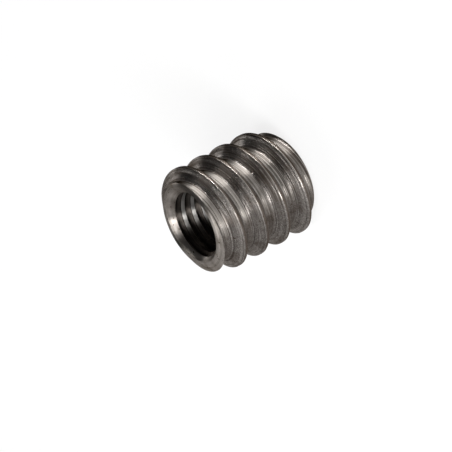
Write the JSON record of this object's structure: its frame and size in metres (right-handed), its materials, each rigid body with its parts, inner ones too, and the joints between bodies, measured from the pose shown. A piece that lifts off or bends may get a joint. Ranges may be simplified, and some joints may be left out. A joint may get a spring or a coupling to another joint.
{
  "type": "threaded insert",
  "caption": "Short round steel insert with a coarse screw-in thread outside, a threaded through bore, countersunk mouths and chamfered ends.",
  "frame": {"origin": "centre of the lower end, which is the end with the steeper chamfer", "axes": "+Z along the bore axis, from the lower end to the upper end; the crest of the outside thread leaves the plane of the lower end 14 degrees from +X towards +Y"},
  "size_m": [0.012, 0.012, 0.0127],
  "materials": {
    "turned_steel": "bare turned steel, satin, with fine lathe marks"
  },
  "bodies": {
    "root": {"threaded_insert": "turned_steel"}
  },
  "joints": []
}
